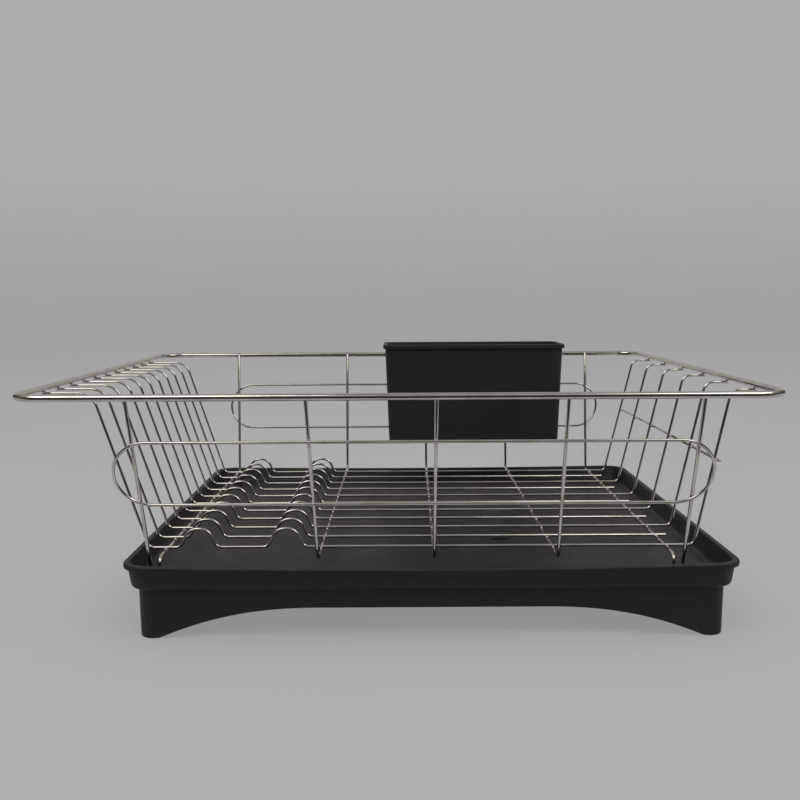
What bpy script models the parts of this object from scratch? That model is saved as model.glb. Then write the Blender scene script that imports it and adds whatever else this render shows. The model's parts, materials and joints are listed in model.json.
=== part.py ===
"""Dish drying rack: a chrome-plated wire basket that stands in a plastic drain tray, and a
plastic utensil holder that hooks over the basket's back rim.

Metres, +Z up. The origin is on the counter, under the middle of the top rim. +X is to the
right and +Y is to the back.
"""

import math

import bmesh
import bpy
from mathutils import Euler, Vector

# ------------------------------------------------------------------ dimensions

GAP = 0.0003  # air left between pieces that touch

# Wire diameters
RIM_WIRE = 0.0045
FRAME_WIRE = 0.0024
LOOP_WIRE = 0.0020
PLATE_WIRE = 0.0020
RAIL_WIRE = 0.0020
WIRE_RESOLUTION = 2

# Top rim, a closed rounded rectangle
RIM_WIDTH = 0.474
RIM_DEPTH = 0.362
RIM_CORNER = 0.022
RIM_Z = 0.164

# Plate wires, which run left to right, a pitch apart. Their flat runs narrow towards the back
PLATE_COUNT = 11
PLATE_PITCH = 0.025
PLATE_FRONT_Y = -0.121
PLATE_Z = 0.0555
PLATE_LEFT_FRONT = -0.1693
PLATE_LEFT_BACK = -0.1666
PLATE_RIGHT_FRONT = 0.1980
PLATE_RIGHT_BACK = 0.1950
PLATE_SHORT_END = 0.187
PLATE_FOOT_RADIUS = 0.0045
LEFT_LEAN = math.radians(17.9)
RIGHT_SHOULDER_X = 0.2196
LEFT_SHOULDER_RADIUS = 0.013
RIGHT_SHOULDER_RADIUS = 0.007
SHOULDER_END = 0.2365
SHOULDER_Z = RIM_Z - RIM_WIRE / 2 - PLATE_WIRE / 2 - GAP
RIGHT_LEAN = math.atan2(RIGHT_SHOULDER_X - PLATE_RIGHT_BACK, SHOULDER_Z - PLATE_Z)

# Humps that hold plates apart
HUMP_CENTRES_FRONT = (-0.1358, -0.0769)
HUMP_CENTRES_BACK = (-0.1325, -0.0745)
HUMP_HEIGHT = 0.0126
HUMP_HALF_BASE = 0.0120
HUMP_HALF_TOP = 0.0070
HUMP_FOOT_RADIUS = 0.005
HUMP_TOP_RADIUS = 0.0093

# Frames, which run front to back under the plate wires and up both walls
FRAME_Z = PLATE_Z - PLATE_WIRE / 2 - FRAME_WIRE / 2 - GAP
FRAME_TOP_Y = RIM_DEPTH / 2 - RIM_WIRE - FRAME_WIRE / 2 - GAP
FRAME_TOP_Z = 0.165
FRONT_BEND_Y = -0.140
BACK_BEND_Y = 0.157
BEND_RADIUS = 0.005
# Each middle frame's X: front top, front bend, back bend, back top
MIDDLE_FRAMES = {
    "cross_frame_left": (-0.0566, -0.0536, -0.0516, -0.0514),
    "cross_frame_middle": (0.0226, 0.0224, 0.0259, 0.0261),
    "cross_frame_right": (0.1022, 0.1033, 0.1041, 0.1043),
}
# Each end frame's X: front top, front foot, front return, back return, back foot, back top
END_FRAMES = {
    "left_end_frame": (-0.1653, -0.1635, -0.1584, -0.1556, -0.1576, -0.1588),
    "right_end_frame": (0.1844, 0.1854, 0.1805, 0.1814, 0.1829, 0.1839),
}
FOOT_SPREAD = 0.0046  # between the two legs of a wire foot
FOOT_TURN_RADIUS = 0.0021

# Closed loops welded outside the front and back walls: ends in X, then in Z
FRONT_LOOP_X = (-0.1778, 0.1955)
FRONT_LOOP_Z = (0.0938, 0.1357)
BACK_LOOP_X = (-0.1661, 0.1946)
BACK_LOOP_Z = (0.0935, 0.1350)

# Rail welded outside the right risers
RAIL_Z = 0.1135
RAIL_OVERHANG = 0.004  # past the first and the last riser

# Drain tray
TRAY_WIDTH = 0.4055
TRAY_DEPTH = 0.327
TRAY_CENTRE = (0.0205, 0.012)
TRAY_CORNER = 0.017
CORNER_SHRINK = 0.8  # how much of an inset is taken off the corner radius
LIP_Z = 0.0512
FLOOR_Z = 0.0385
FLOOR_THICKNESS = 0.0026
LEDGE_Z = 0.0338
FRONT_SAG = 0.0026
BACK_SAG = 0.0014
SAG_START_Z = FLOOR_Z + 0.003
LONG_SIDE_STEPS = 8
# Inset from the lip's edge and height: up from the floor, over the lip, down the outside to a
# ledge above the skirt, and back up to the floor's underside
TRAY_SECTION = (
    (0.0120, FLOOR_Z),
    (0.0088, FLOOR_Z + 0.0009),
    (0.0074, FLOOR_Z + 0.0032),
    (0.0044, LIP_Z - 0.0006),
    (0.0036, LIP_Z),
    (0.0010, LIP_Z),
    (0.0000, LIP_Z - 0.0010),
    (0.0000, LIP_Z - 0.0034),
    (0.0026, LIP_Z - 0.0038),
    (0.0038, LEDGE_Z + 0.0060),
    (0.0050, LEDGE_Z + 0.0022),
    (0.0070, LEDGE_Z + 0.0004),
    (0.0115, LEDGE_Z),
    (0.0118, FLOOR_Z - FLOOR_THICKNESS),
)
SKIRT_INSET = 0.0088
SKIRT_DRAFT = 0.0004
SKIRT_WALL = 0.0025
JOIN_OVERLAP = 0.001
LEG_WIDTH = 0.013
ARCH_HEIGHT = 0.0203
FRONT_ARCH_RAMP = 0.1055
SIDE_ARCH_RAMP = 0.084
ARCH_POWER = 2.3
ARCH_STEPS = 7
DRAIN_CENTRE = (0.0762, -0.035)
DRAIN_RADIUS = 0.015
DRAIN_DEPTH = 0.0035
DRAIN_FLARE = 1.9  # how fast the countersink widens upwards
DRAIN_HOLE_RADIUS = 0.0068
DRAIN_BOSS_RADIUS = 0.016
DRAIN_BOSS_Z = 0.0320

# Utensil holder
HOLDER_X = 0.0696
HOLDER_CORNER = 0.005
HOLDER_INNER_CORNER = 0.003
# Width, depth, centre Y and height of each ring
HOLDER_OUTSIDE = (
    (0.1572, 0.0389, 0.1397, 0.0868),
    (0.1592, 0.0409, 0.1397, 0.0878),
    (0.1652, 0.0514, 0.1455, 0.1726),
    (0.1688, 0.0550, 0.1455, 0.1730),
    (0.1688, 0.0550, 0.1455, 0.1760),
    (0.1678, 0.0540, 0.1455, 0.1765),
)
HOLDER_INSIDE = (
    (0.1622, 0.0484, 0.1455, 0.1765),
    (0.1612, 0.0474, 0.1455, 0.1755),
    (0.1552, 0.0369, 0.1397, 0.0898),
    (0.1532, 0.0349, 0.1397, 0.0888),
)
SLOT_COUNT = 7
SLOT_PITCH = 0.0195
SLOT_SIZE = (0.003, 0.024, 0.010)
HOOK_OFFSETS = (-0.048, 0.048)
HOOK_WIDTH = 0.022
HOOK_THICKNESS = 0.0022
HOOK_ROOT_Y = 0.1692
HOOK_REST = 0.0004  # above the rim, at rest
HOOK_SLACK = 0.0008  # behind the rim
HOOK_TIP_Z = 0.1560

# Where an outline's first axis points, as an angle about Z
ALONG_X = 0.0
ALONG_Y = math.pi / 2

FINE_STEP = math.radians(15)
COARSE_STEP = math.radians(30)
CORNER_STEPS = 5

# ------------------------------------------------------------------ scene


def clear_scene():
    for obj in list(bpy.data.objects):
        bpy.data.objects.remove(obj)


def make_collection(name):
    collection = bpy.data.collections.new(name)
    bpy.context.scene.collection.children.link(collection)
    return collection


def make_material(name, colour, roughness, metallic):
    material = bpy.data.materials.new(name)
    material.use_nodes = True
    shader = material.node_tree.nodes["Principled BSDF"]
    shader.inputs["Base Color"].default_value = (*colour, 1.0)
    shader.inputs["Roughness"].default_value = roughness
    shader.inputs["Metallic"].default_value = metallic
    return material


def make_empty(name, location):
    empty = bpy.data.objects.new(name, None)
    empty.location = location
    PARTS.objects.link(empty)
    return empty


# ------------------------------------------------------------------ shapes


def rounded_path(corners, step, closed=False):
    """Points of straight runs joined by arcs. corners holds (point, radius) pairs."""
    points = []
    last = len(corners) - 1
    for index, (corner, radius) in enumerate(corners):
        corner = Vector(corner)
        if not closed and index in (0, last):
            points.append(corner)
            continue
        before = (Vector(corners[index - 1][0]) - corner).normalized()
        after = (Vector(corners[(index + 1) % len(corners)][0]) - corner).normalized()
        half_opening = before.angle(after) / 2
        centre = corner + (before + after).normalized() * radius / math.sin(half_opening)
        reach = radius / math.tan(half_opening)
        start = (corner + before * reach - centre).normalized()
        end = (corner + after * reach - centre).normalized()
        steps = max(2, round((math.pi - 2 * half_opening) / step))
        points += [centre + start.slerp(end, i / steps) * radius for i in range(steps + 1)]
    return points


def make_wire(name, points, diameter, material, parent, closed=False):
    curve = bpy.data.curves.new(name, "CURVE")
    curve.dimensions = "3D"
    curve.bevel_depth = diameter / 2
    curve.bevel_resolution = WIRE_RESOLUTION
    curve.use_fill_caps = True
    spline = curve.splines.new("POLY")
    spline.points.add(len(points) - 1)
    for slot, point in zip(spline.points, points):
        slot.co = (*point, 1.0)
    spline.use_cyclic_u = closed
    spline.use_smooth = True
    curve.materials.append(material)
    wire = bpy.data.objects.new(name, curve)
    wire.parent = parent
    PARTS.objects.link(wire)
    return wire


def rounded_rectangle(width, depth, radius, z, centre_y=0.0, side_steps=1):
    """Points anticlockwise from above, with the two long sides split into side_steps."""
    points = []
    for corner, (side_x, side_y) in enumerate(((1, 1), (-1, 1), (-1, -1), (1, -1))):
        centre_x = side_x * (width / 2 - radius)
        arc_y = centre_y + side_y * (depth / 2 - radius)
        for step in range(CORNER_STEPS + 1):
            angle = (corner + step / CORNER_STEPS) * math.pi / 2
            x = centre_x + radius * math.cos(angle)
            y = arc_y + radius * math.sin(angle)
            points.append(Vector((x, y, z)))
        if corner in (0, 2):
            start = points[-1]
            end = Vector((-start.x, start.y, z))
            points += [start.lerp(end, i / side_steps) for i in range(1, side_steps)]
    return points


def loft(name, rings, ring_closed=False):
    """A closed body through rings of equal length, with filled ends or joined to a loop."""
    body = bmesh.new()
    loops = [[body.verts.new(point) for point in ring] for ring in rings]
    pairs = list(zip(loops, loops[1:]))
    if ring_closed:
        pairs.append((loops[-1], loops[0]))
    else:
        body.faces.new(loops[0])
        body.faces.new(reversed(loops[-1]))
    for lower, upper in pairs:
        for i in range(len(lower)):
            j = (i + 1) % len(lower)
            body.faces.new((lower[i], lower[j], upper[j], upper[i]))
    bmesh.ops.recalc_face_normals(body, faces=body.faces)
    return mesh_object(name, body)


def mesh_object(name, body):
    mesh = bpy.data.meshes.new(name)
    body.to_mesh(mesh)
    body.free()
    return bpy.data.objects.new(name, mesh)


def cylinder(name, bottom_radius, top_radius, bottom, top, centre):
    body = bmesh.new()
    bmesh.ops.create_cone(
        body,
        cap_ends=True,
        segments=24,
        radius1=bottom_radius,
        radius2=top_radius,
        depth=top - bottom,
    )
    obj = mesh_object(name, body)
    obj.location = (*centre, (top + bottom) / 2)
    return obj


def extruded_outline(name, points, width, turn):
    """A mesh prism of an outline of (across, up) points. turn is where across points, about Z."""
    curve = bpy.data.curves.new(name, "CURVE")
    curve.dimensions = "2D"
    curve.fill_mode = "BOTH"
    curve.extrude = width / 2
    spline = curve.splines.new("POLY")
    spline.points.add(len(points) - 1)
    for slot, (across, up) in zip(spline.points, points):
        slot.co = (across, up, 0.0, 1.0)
    spline.use_cyclic_u = True
    outline = bpy.data.objects.new(name + "_outline", curve)
    CUTTERS.objects.link(outline)
    outline.rotation_euler = Euler((math.pi / 2, 0.0, turn))
    graph = bpy.context.evaluated_depsgraph_get()
    mesh = bpy.data.meshes.new_from_object(outline.evaluated_get(graph))
    body = bmesh.new()
    body.from_mesh(mesh)
    bmesh.ops.remove_doubles(body, verts=body.verts, dist=1e-6)
    bmesh.ops.recalc_face_normals(body, faces=body.faces)
    body.to_mesh(mesh)
    body.free()
    prism = bpy.data.objects.new(name, mesh)
    prism.matrix_world = outline.matrix_world
    bpy.data.objects.remove(outline)
    return prism


def keep_as_cutter(obj):
    obj.hide_render = True
    obj.display_type = "WIRE"
    CUTTERS.objects.link(obj)
    return obj


def combine(target, operand, operation):
    """Adds a Boolean modifier that joins or cuts target with operand."""
    modifier = target.modifiers.new(operand.name, "BOOLEAN")
    modifier.operation = operation
    modifier.solver = "EXACT"
    modifier.object = keep_as_cutter(operand)


def shade(obj, material):
    obj.data.materials.clear()
    obj.data.materials.append(material)
    obj.data.shade_smooth()
    obj.data.set_sharp_from_angle(angle=math.radians(35))


# ------------------------------------------------------------------ wire basket


def make_top_rim(basket):
    half_width = (RIM_WIDTH - RIM_WIRE) / 2
    half_depth = (RIM_DEPTH - RIM_WIRE) / 2
    radius = RIM_CORNER - RIM_WIRE / 2
    corners = [
        ((side_x * half_width, side_y * half_depth, 0.0), radius)
        for side_x, side_y in ((1, 1), (-1, 1), (-1, -1), (1, -1))
    ]
    points = rounded_path(corners, FINE_STEP, closed=True)
    rim = make_wire("top_rim", points, RIM_WIRE, CHROME, basket, closed=True)
    rim.location.z = RIM_Z


def hump_corners(centre):
    """Corners of one hump, a round-topped arch on filleted feet."""
    return [
        ((centre - HUMP_HALF_BASE, 0.0, 0.0), HUMP_FOOT_RADIUS),
        ((centre - HUMP_HALF_TOP, 0.0, HUMP_HEIGHT), HUMP_TOP_RADIUS),
        ((centre + HUMP_HALF_TOP, 0.0, HUMP_HEIGHT), HUMP_TOP_RADIUS),
        ((centre + HUMP_HALF_BASE, 0.0, 0.0), HUMP_FOOT_RADIUS),
    ]


def plate_ends(share):
    """X of a flat run's left and right ends, with share going from 0 at the front to 1."""
    left = PLATE_LEFT_FRONT + (PLATE_LEFT_BACK - PLATE_LEFT_FRONT) * share
    right = PLATE_RIGHT_FRONT + (PLATE_RIGHT_BACK - PLATE_RIGHT_FRONT) * share
    return left, right


def plate_wire_corners(share, is_long):
    """Corners in the XZ plane, from the left shoulder; Z is measured from the flat run."""
    left, right = plate_ends(share)
    rise = SHOULDER_Z - PLATE_Z
    left_shoulder = left - rise * math.tan(LEFT_LEAN)
    corners = [
        ((-SHOULDER_END, 0.0, rise), 0.0),
        ((left_shoulder, 0.0, rise), LEFT_SHOULDER_RADIUS),
        ((left, 0.0, 0.0), PLATE_FOOT_RADIUS),
    ]
    for front, back in zip(HUMP_CENTRES_FRONT, HUMP_CENTRES_BACK):
        corners += hump_corners(front + (back - front) * share)
    if is_long:
        corners += [
            ((right, 0.0, 0.0), PLATE_FOOT_RADIUS),
            ((RIGHT_SHOULDER_X, 0.0, rise), RIGHT_SHOULDER_RADIUS),
            ((SHOULDER_END, 0.0, rise), 0.0),
        ]
    else:
        corners.append(((PLATE_SHORT_END, 0.0, 0.0), 0.0))
    return corners


def make_plate_wires(basket):
    """Every second wire stops at the right; the others rise to the right rim."""
    for index in range(PLATE_COUNT):
        corners = plate_wire_corners(index / (PLATE_COUNT - 1), index % 2 == 0)
        points = rounded_path(corners, COARSE_STEP)
        name = f"plate_wire_{index + 1:02d}"
        wire = make_wire(name, points, PLATE_WIRE, CHROME, basket)
        wire.location = (0.0, PLATE_FRONT_Y + index * PLATE_PITCH, PLATE_Z)


def make_middle_frames(basket):
    for name, (front_top, front_bend, back_bend, back_top) in MIDDLE_FRAMES.items():
        corners = [
            ((front_top, -FRAME_TOP_Y, FRAME_TOP_Z), 0.0),
            ((front_bend, FRONT_BEND_Y, FRAME_Z), BEND_RADIUS),
            ((back_bend, BACK_BEND_Y, FRAME_Z), BEND_RADIUS),
            ((back_top, FRAME_TOP_Y, FRAME_TOP_Z), 0.0),
        ]
        make_wire(name, rounded_path(corners, COARSE_STEP), FRAME_WIRE, CHROME, basket)


def wall_slope(bend_y):
    """How far a wall comes inwards for each metre down."""
    return (FRAME_TOP_Y - abs(bend_y)) / (FRAME_TOP_Z - FRAME_Z)


def make_end_frames(basket):
    """A frame whose walls go on down to U-shaped wire feet on the tray's floor."""
    foot_z = FLOOR_Z + GAP + FRAME_WIRE / 2
    drop = FRAME_TOP_Z - foot_z
    front_y = drop * wall_slope(FRONT_BEND_Y) - FRAME_TOP_Y
    back_y = FRAME_TOP_Y - drop * wall_slope(BACK_BEND_Y)
    inner_back_y = back_y - FOOT_SPREAD
    for name, places in END_FRAMES.items():
        front_top, front_foot, front_return, back_return, back_foot, back_top = places
        corners = [
            ((front_top, -FRAME_TOP_Y, FRAME_TOP_Z), 0.0),
            ((front_foot, front_y, foot_z), FOOT_TURN_RADIUS),
            ((front_return, front_y, foot_z), FOOT_TURN_RADIUS),
            ((front_return, front_y, FRAME_Z), BEND_RADIUS),
            ((back_return, inner_back_y, FRAME_Z), BEND_RADIUS),
            ((back_return, inner_back_y, foot_z), FOOT_TURN_RADIUS),
            ((back_foot, back_y, foot_z), FOOT_TURN_RADIUS),
            ((back_top, FRAME_TOP_Y, FRAME_TOP_Z), 0.0),
        ]
        make_wire(name, rounded_path(corners, COARSE_STEP), FRAME_WIRE, CHROME, basket)


def make_loop(name, bend_y, ends, levels, basket):
    """A stadium of wire that lies against the outside of a leaning wall."""
    side = math.copysign(1.0, bend_y)
    slope = wall_slope(bend_y)
    stretch = math.hypot(1.0, slope)
    half_height = (levels[1] - levels[0]) / 2 * stretch
    half_width = (ends[1] - ends[0]) / 2
    straight = half_width - half_height
    points = []
    for direction in (1, -1):
        steps = round(math.pi / FINE_STEP)
        for step in range(steps + 1):
            angle = math.pi * step / steps - math.pi / 2
            x = direction * (straight + half_height * math.cos(angle))
            points.append(Vector((x, 0.0, direction * half_height * math.sin(angle))))
    loop = make_wire(name, points, LOOP_WIRE, CHROME, basket, closed=True)
    middle_z = (levels[0] + levels[1]) / 2
    wall_y = FRAME_TOP_Y - (FRAME_TOP_Z - middle_z) * slope
    offset = (FRAME_WIRE + LOOP_WIRE) / 2 + GAP
    loop.location = (
        (ends[0] + ends[1]) / 2,
        side * (wall_y + offset / stretch),
        middle_z - offset * slope / stretch,
    )
    loop.rotation_euler.x = -side * math.atan(slope)


def make_right_side_rail(basket):
    height_share = (RAIL_Z - PLATE_Z) / (SHOULDER_Z - PLATE_Z)
    offset = ((PLATE_WIRE + RAIL_WIRE) / 2 + GAP) / math.cos(RIGHT_LEAN)
    run = PLATE_PITCH * (PLATE_COUNT - 1)
    points = []
    for y in (-RAIL_OVERHANG, run + RAIL_OVERHANG):
        foot_x = plate_ends(y / run)[1]
        riser_x = foot_x + (RIGHT_SHOULDER_X - foot_x) * height_share
        points.append(Vector((riser_x + offset, y, 0.0)))
    rail = make_wire("right_side_rail", points, RAIL_WIRE, CHROME, basket)
    rail.location = (0.0, PLATE_FRONT_Y, RAIL_Z)


def make_basket():
    basket = make_empty("basket_lift_axis", (0.0, 0.0, 0.0))
    make_top_rim(basket)
    make_plate_wires(basket)
    make_middle_frames(basket)
    make_end_frames(basket)
    make_loop("front_loop", FRONT_BEND_Y, FRONT_LOOP_X, FRONT_LOOP_Z, basket)
    make_loop("back_loop", BACK_BEND_Y, BACK_LOOP_X, BACK_LOOP_Z, basket)
    make_right_side_rail(basket)


# ------------------------------------------------------------------ drain tray


def tray_outline(inset, z, side_steps=1):
    """A ring of the tray's outline, moved inwards by inset."""
    width = TRAY_WIDTH - 2 * inset
    depth = TRAY_DEPTH - 2 * inset
    radius = TRAY_CORNER - inset * CORNER_SHRINK
    return rounded_rectangle(width, depth, radius, z, side_steps=side_steps)


def pan_ring(inset, z):
    """One ring of the pan. Its long sides sag towards the middle, most at the lip."""
    ring = tray_outline(inset, z, LONG_SIDE_STEPS)
    half_run = TRAY_WIDTH / 2 - inset - TRAY_CORNER
    share = max(0.0, (z - SAG_START_Z) / (LIP_Z - SAG_START_Z))
    for point in ring:
        sag = FRONT_SAG if point.y < 0.0 else BACK_SAG
        middle = 1.0 - min(1.0, abs(point.x) / half_run) ** 2
        point.z -= sag * share * middle
    return ring


def arch_cutter(name, half_span, ramp, length, turn):
    """A prism below a flat-topped arch whose ends curve down to the legs."""
    side = []
    for step in range(ARCH_STEPS + 1):
        t = step / ARCH_STEPS
        side.append((half_span - ramp * t, ARCH_HEIGHT * (1.0 - (1.0 - t) ** ARCH_POWER)))
    below = -ARCH_HEIGHT
    points = [(half_span, below), *side]
    points += [(-across, up) for across, up in reversed(points)]
    return extruded_outline(name, points, length, turn)


def make_skirt():
    top = LEDGE_Z + JOIN_OVERLAP
    rings = [
        tray_outline(SKIRT_INSET, top),
        tray_outline(SKIRT_INSET + SKIRT_DRAFT, 0.0),
        tray_outline(SKIRT_INSET + SKIRT_DRAFT + SKIRT_WALL, 0.0),
        tray_outline(SKIRT_INSET + SKIRT_WALL, top),
    ]
    skirt = loft("skirt", rings, ring_closed=True)
    half_width = TRAY_WIDTH / 2 - SKIRT_INSET - LEG_WIDTH
    half_depth = TRAY_DEPTH / 2 - SKIRT_INSET - LEG_WIDTH
    front_arch = arch_cutter("front_arch", half_width, FRONT_ARCH_RAMP, TRAY_DEPTH, ALONG_X)
    combine(skirt, front_arch, "DIFFERENCE")
    side_arch = arch_cutter("side_arch", half_depth, SIDE_ARCH_RAMP, TRAY_WIDTH, ALONG_Y)
    combine(skirt, side_arch, "DIFFERENCE")
    return skirt


def make_drain_tray():
    tray = loft("drain_tray", [pan_ring(inset, z) for inset, z in TRAY_SECTION])
    PARTS.objects.link(tray)
    combine(tray, make_skirt(), "UNION")
    centre = (DRAIN_CENTRE[0] - TRAY_CENTRE[0], DRAIN_CENTRE[1] - TRAY_CENTRE[1])
    recess_z = FLOOR_Z - DRAIN_DEPTH
    boss_top = FLOOR_Z - FLOOR_THICKNESS + JOIN_OVERLAP
    boss = cylinder(
        "drain_boss", DRAIN_BOSS_RADIUS, DRAIN_BOSS_RADIUS, DRAIN_BOSS_Z, boss_top, centre
    )
    combine(tray, boss, "UNION")
    countersink = cylinder(
        "drain_countersink",
        DRAIN_RADIUS - DRAIN_FLARE * DRAIN_DEPTH,
        DRAIN_RADIUS + DRAIN_FLARE * JOIN_OVERLAP,
        recess_z,
        FLOOR_Z + JOIN_OVERLAP,
        centre,
    )
    combine(tray, countersink, "DIFFERENCE")
    hole = cylinder(
        "drain_hole",
        DRAIN_HOLE_RADIUS,
        DRAIN_HOLE_RADIUS,
        DRAIN_BOSS_Z - JOIN_OVERLAP,
        recess_z + JOIN_OVERLAP,
        centre,
    )
    combine(tray, hole, "DIFFERENCE")
    shade(tray, TRAY_PLASTIC)
    tray.location = (*TRAY_CENTRE, 0.0)
    for cutter in CUTTERS.objects:
        cutter.location += Vector((*TRAY_CENTRE, 0.0))


# ------------------------------------------------------------------ utensil holder


def hook_outline():
    """The (y, z) outline of a hook that goes over the rim and down behind it."""
    rest_z = RIM_Z + RIM_WIRE / 2 + HOOK_REST
    behind_y = RIM_DEPTH / 2 + HOOK_SLACK
    return [
        (HOOK_ROOT_Y, rest_z),
        (behind_y, rest_z),
        (behind_y, HOOK_TIP_Z),
        (behind_y + HOOK_THICKNESS, HOOK_TIP_Z),
        (behind_y + HOOK_THICKNESS, rest_z + HOOK_THICKNESS / 2),
        (behind_y + HOOK_THICKNESS / 2, rest_z + HOOK_THICKNESS),
        (HOOK_ROOT_Y, rest_z + HOOK_THICKNESS),
    ]


def make_slots():
    """Drain slots through the holder's floor, side by side."""
    body = bmesh.new()
    floor = HOLDER_OUTSIDE[0]
    for index in range(SLOT_COUNT):
        slot = bmesh.ops.create_cube(body, size=1.0)["verts"]
        bmesh.ops.scale(body, verts=slot, vec=SLOT_SIZE)
        x = (index - (SLOT_COUNT - 1) / 2) * SLOT_PITCH
        bmesh.ops.translate(body, verts=slot, vec=(x, floor[2], floor[3]))
    return mesh_object("holder_slots", body)


def make_utensil_holder():
    rings = []
    for section, radius in (
        (HOLDER_OUTSIDE, HOLDER_CORNER),
        (HOLDER_INSIDE, HOLDER_INNER_CORNER),
    ):
        for width, depth, centre_y, z in section:
            rings.append(rounded_rectangle(width, depth, radius, z, centre_y))
    holder = loft("utensil_holder", rings)
    PARTS.objects.link(holder)
    holder.parent = make_empty("holder_lift_axis", (HOLDER_X, 0.0, 0.0))
    for index, offset in enumerate(HOOK_OFFSETS):
        name = f"holder_hook_{index + 1}"
        hook = extruded_outline(name, hook_outline(), HOOK_WIDTH, ALONG_Y)
        hook.location.x = HOLDER_X + offset
        combine(holder, hook, "UNION")
    slots = make_slots()
    slots.location.x = HOLDER_X
    combine(holder, slots, "DIFFERENCE")
    shade(holder, HOLDER_PLASTIC)


# ------------------------------------------------------------------ build

clear_scene()
PARTS = make_collection("dish_drying_rack")
CUTTERS = make_collection("cutters")
CHROME = make_material("chrome_wire", (0.62, 0.60, 0.57), 0.15, 1.0)
TRAY_PLASTIC = make_material("tray_black_plastic", (0.016, 0.016, 0.017), 0.45, 0.0)
HOLDER_PLASTIC = make_material("holder_black_plastic", (0.012, 0.012, 0.015), 0.5, 0.0)

make_drain_tray()
make_basket()
make_utensil_holder()
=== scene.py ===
"""Looks of the dish drying rack: smooth chrome wires with their welds, a satin black drain tray
and a utensil holder hooked on the back rim, on a plain round studio floor.

Metres, in the CAD's frame: +Z up, +X to the right, +Y to the back. The CAD's dimensions are
repeated here as constants, because every piece keeps the CAD's size and place.
"""

import json
import math

import bmesh
import bpy
from mathutils import Matrix, Vector

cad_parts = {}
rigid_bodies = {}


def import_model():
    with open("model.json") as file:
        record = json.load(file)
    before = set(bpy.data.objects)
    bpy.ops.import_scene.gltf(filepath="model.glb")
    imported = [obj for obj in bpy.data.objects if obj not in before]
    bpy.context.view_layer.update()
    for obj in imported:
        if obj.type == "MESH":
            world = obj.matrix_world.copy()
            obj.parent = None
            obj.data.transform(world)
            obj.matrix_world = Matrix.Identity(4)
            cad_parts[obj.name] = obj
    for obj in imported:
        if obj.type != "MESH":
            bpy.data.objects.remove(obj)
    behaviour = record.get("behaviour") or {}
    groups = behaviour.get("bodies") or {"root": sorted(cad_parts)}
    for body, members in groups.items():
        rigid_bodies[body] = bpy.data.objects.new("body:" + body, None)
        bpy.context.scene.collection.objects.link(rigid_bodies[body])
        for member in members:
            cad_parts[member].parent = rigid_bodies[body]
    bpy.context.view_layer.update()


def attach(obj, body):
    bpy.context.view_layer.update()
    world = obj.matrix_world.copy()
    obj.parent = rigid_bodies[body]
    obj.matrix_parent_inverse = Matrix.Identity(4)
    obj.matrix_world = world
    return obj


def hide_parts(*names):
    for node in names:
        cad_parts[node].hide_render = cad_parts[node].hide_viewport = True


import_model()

# ------------------------------------------------------------------ dimensions

GAP = 0.0003
RIM_WIRE = 0.0045
FRAME_WIRE = 0.0024
LOOP_WIRE = 0.0020
PLATE_WIRE = 0.0020
RAIL_WIRE = 0.0020
WIRE_RESOLUTION = 6
END_ROUNDING = 0.35  # of the diameter, along the wire
END_TURNS = (12, 35, 60)  # degrees round a wire's end

RIM_WIDTH = 0.474
RIM_DEPTH = 0.362
RIM_CORNER = 0.022
RIM_Z = 0.164

PLATE_COUNT = 11
PLATE_PITCH = 0.025
PLATE_FRONT_Y = -0.121
PLATE_Z = 0.0555
PLATE_LEFT_FRONT = -0.1693
PLATE_LEFT_BACK = -0.1666
PLATE_RIGHT_FRONT = 0.1980
PLATE_RIGHT_BACK = 0.1950
PLATE_SHORT_END = 0.187
PLATE_FOOT_RADIUS = 0.0045
LEFT_LEAN = math.radians(17.9)
RIGHT_SHOULDER_X = 0.2196
LEFT_SHOULDER_RADIUS = 0.013
RIGHT_SHOULDER_RADIUS = 0.007
SHOULDER_END = 0.2365
SHOULDER_Z = RIM_Z - RIM_WIRE / 2 - PLATE_WIRE / 2 - GAP
RIGHT_LEAN = math.atan2(RIGHT_SHOULDER_X - PLATE_RIGHT_BACK, SHOULDER_Z - PLATE_Z)

HUMP_CENTRES_FRONT = (-0.1358, -0.0769)
HUMP_CENTRES_BACK = (-0.1325, -0.0745)
HUMP_HEIGHT = 0.0126
HUMP_HALF_BASE = 0.0120
HUMP_HALF_TOP = 0.0070
HUMP_FOOT_RADIUS = 0.005
HUMP_TOP_RADIUS = 0.0093

FRAME_Z = PLATE_Z - PLATE_WIRE / 2 - FRAME_WIRE / 2 - GAP
FRAME_TOP_Y = RIM_DEPTH / 2 - RIM_WIRE - FRAME_WIRE / 2 - GAP
FRAME_TOP_Z = 0.165
FRONT_BEND_Y = -0.140
BACK_BEND_Y = 0.157
BEND_RADIUS = 0.005
# Each middle frame's X: front top, front bend, back bend, back top
MIDDLE_FRAMES = {
    "cross_frame_left": (-0.0566, -0.0536, -0.0516, -0.0514),
    "cross_frame_middle": (0.0226, 0.0224, 0.0259, 0.0261),
    "cross_frame_right": (0.1022, 0.1033, 0.1041, 0.1043),
}
# Each end frame's X: front top, front foot, front return, back return, back foot, back top
END_FRAMES = {
    "left_end_frame": (-0.1653, -0.1635, -0.1584, -0.1556, -0.1576, -0.1588),
    "right_end_frame": (0.1844, 0.1854, 0.1805, 0.1814, 0.1829, 0.1839),
}
FOOT_SPREAD = 0.0046
FOOT_TURN_RADIUS = 0.0021

# Loops: name to the bend's Y, ends in X and ends in Z
LOOPS = {
    "front_loop": (FRONT_BEND_Y, (-0.1778, 0.1955), (0.0938, 0.1357)),
    "back_loop": (BACK_BEND_Y, (-0.1661, 0.1946), (0.0935, 0.1350)),
}
RAIL_Z = 0.1135
RAIL_OVERHANG = 0.004

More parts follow.
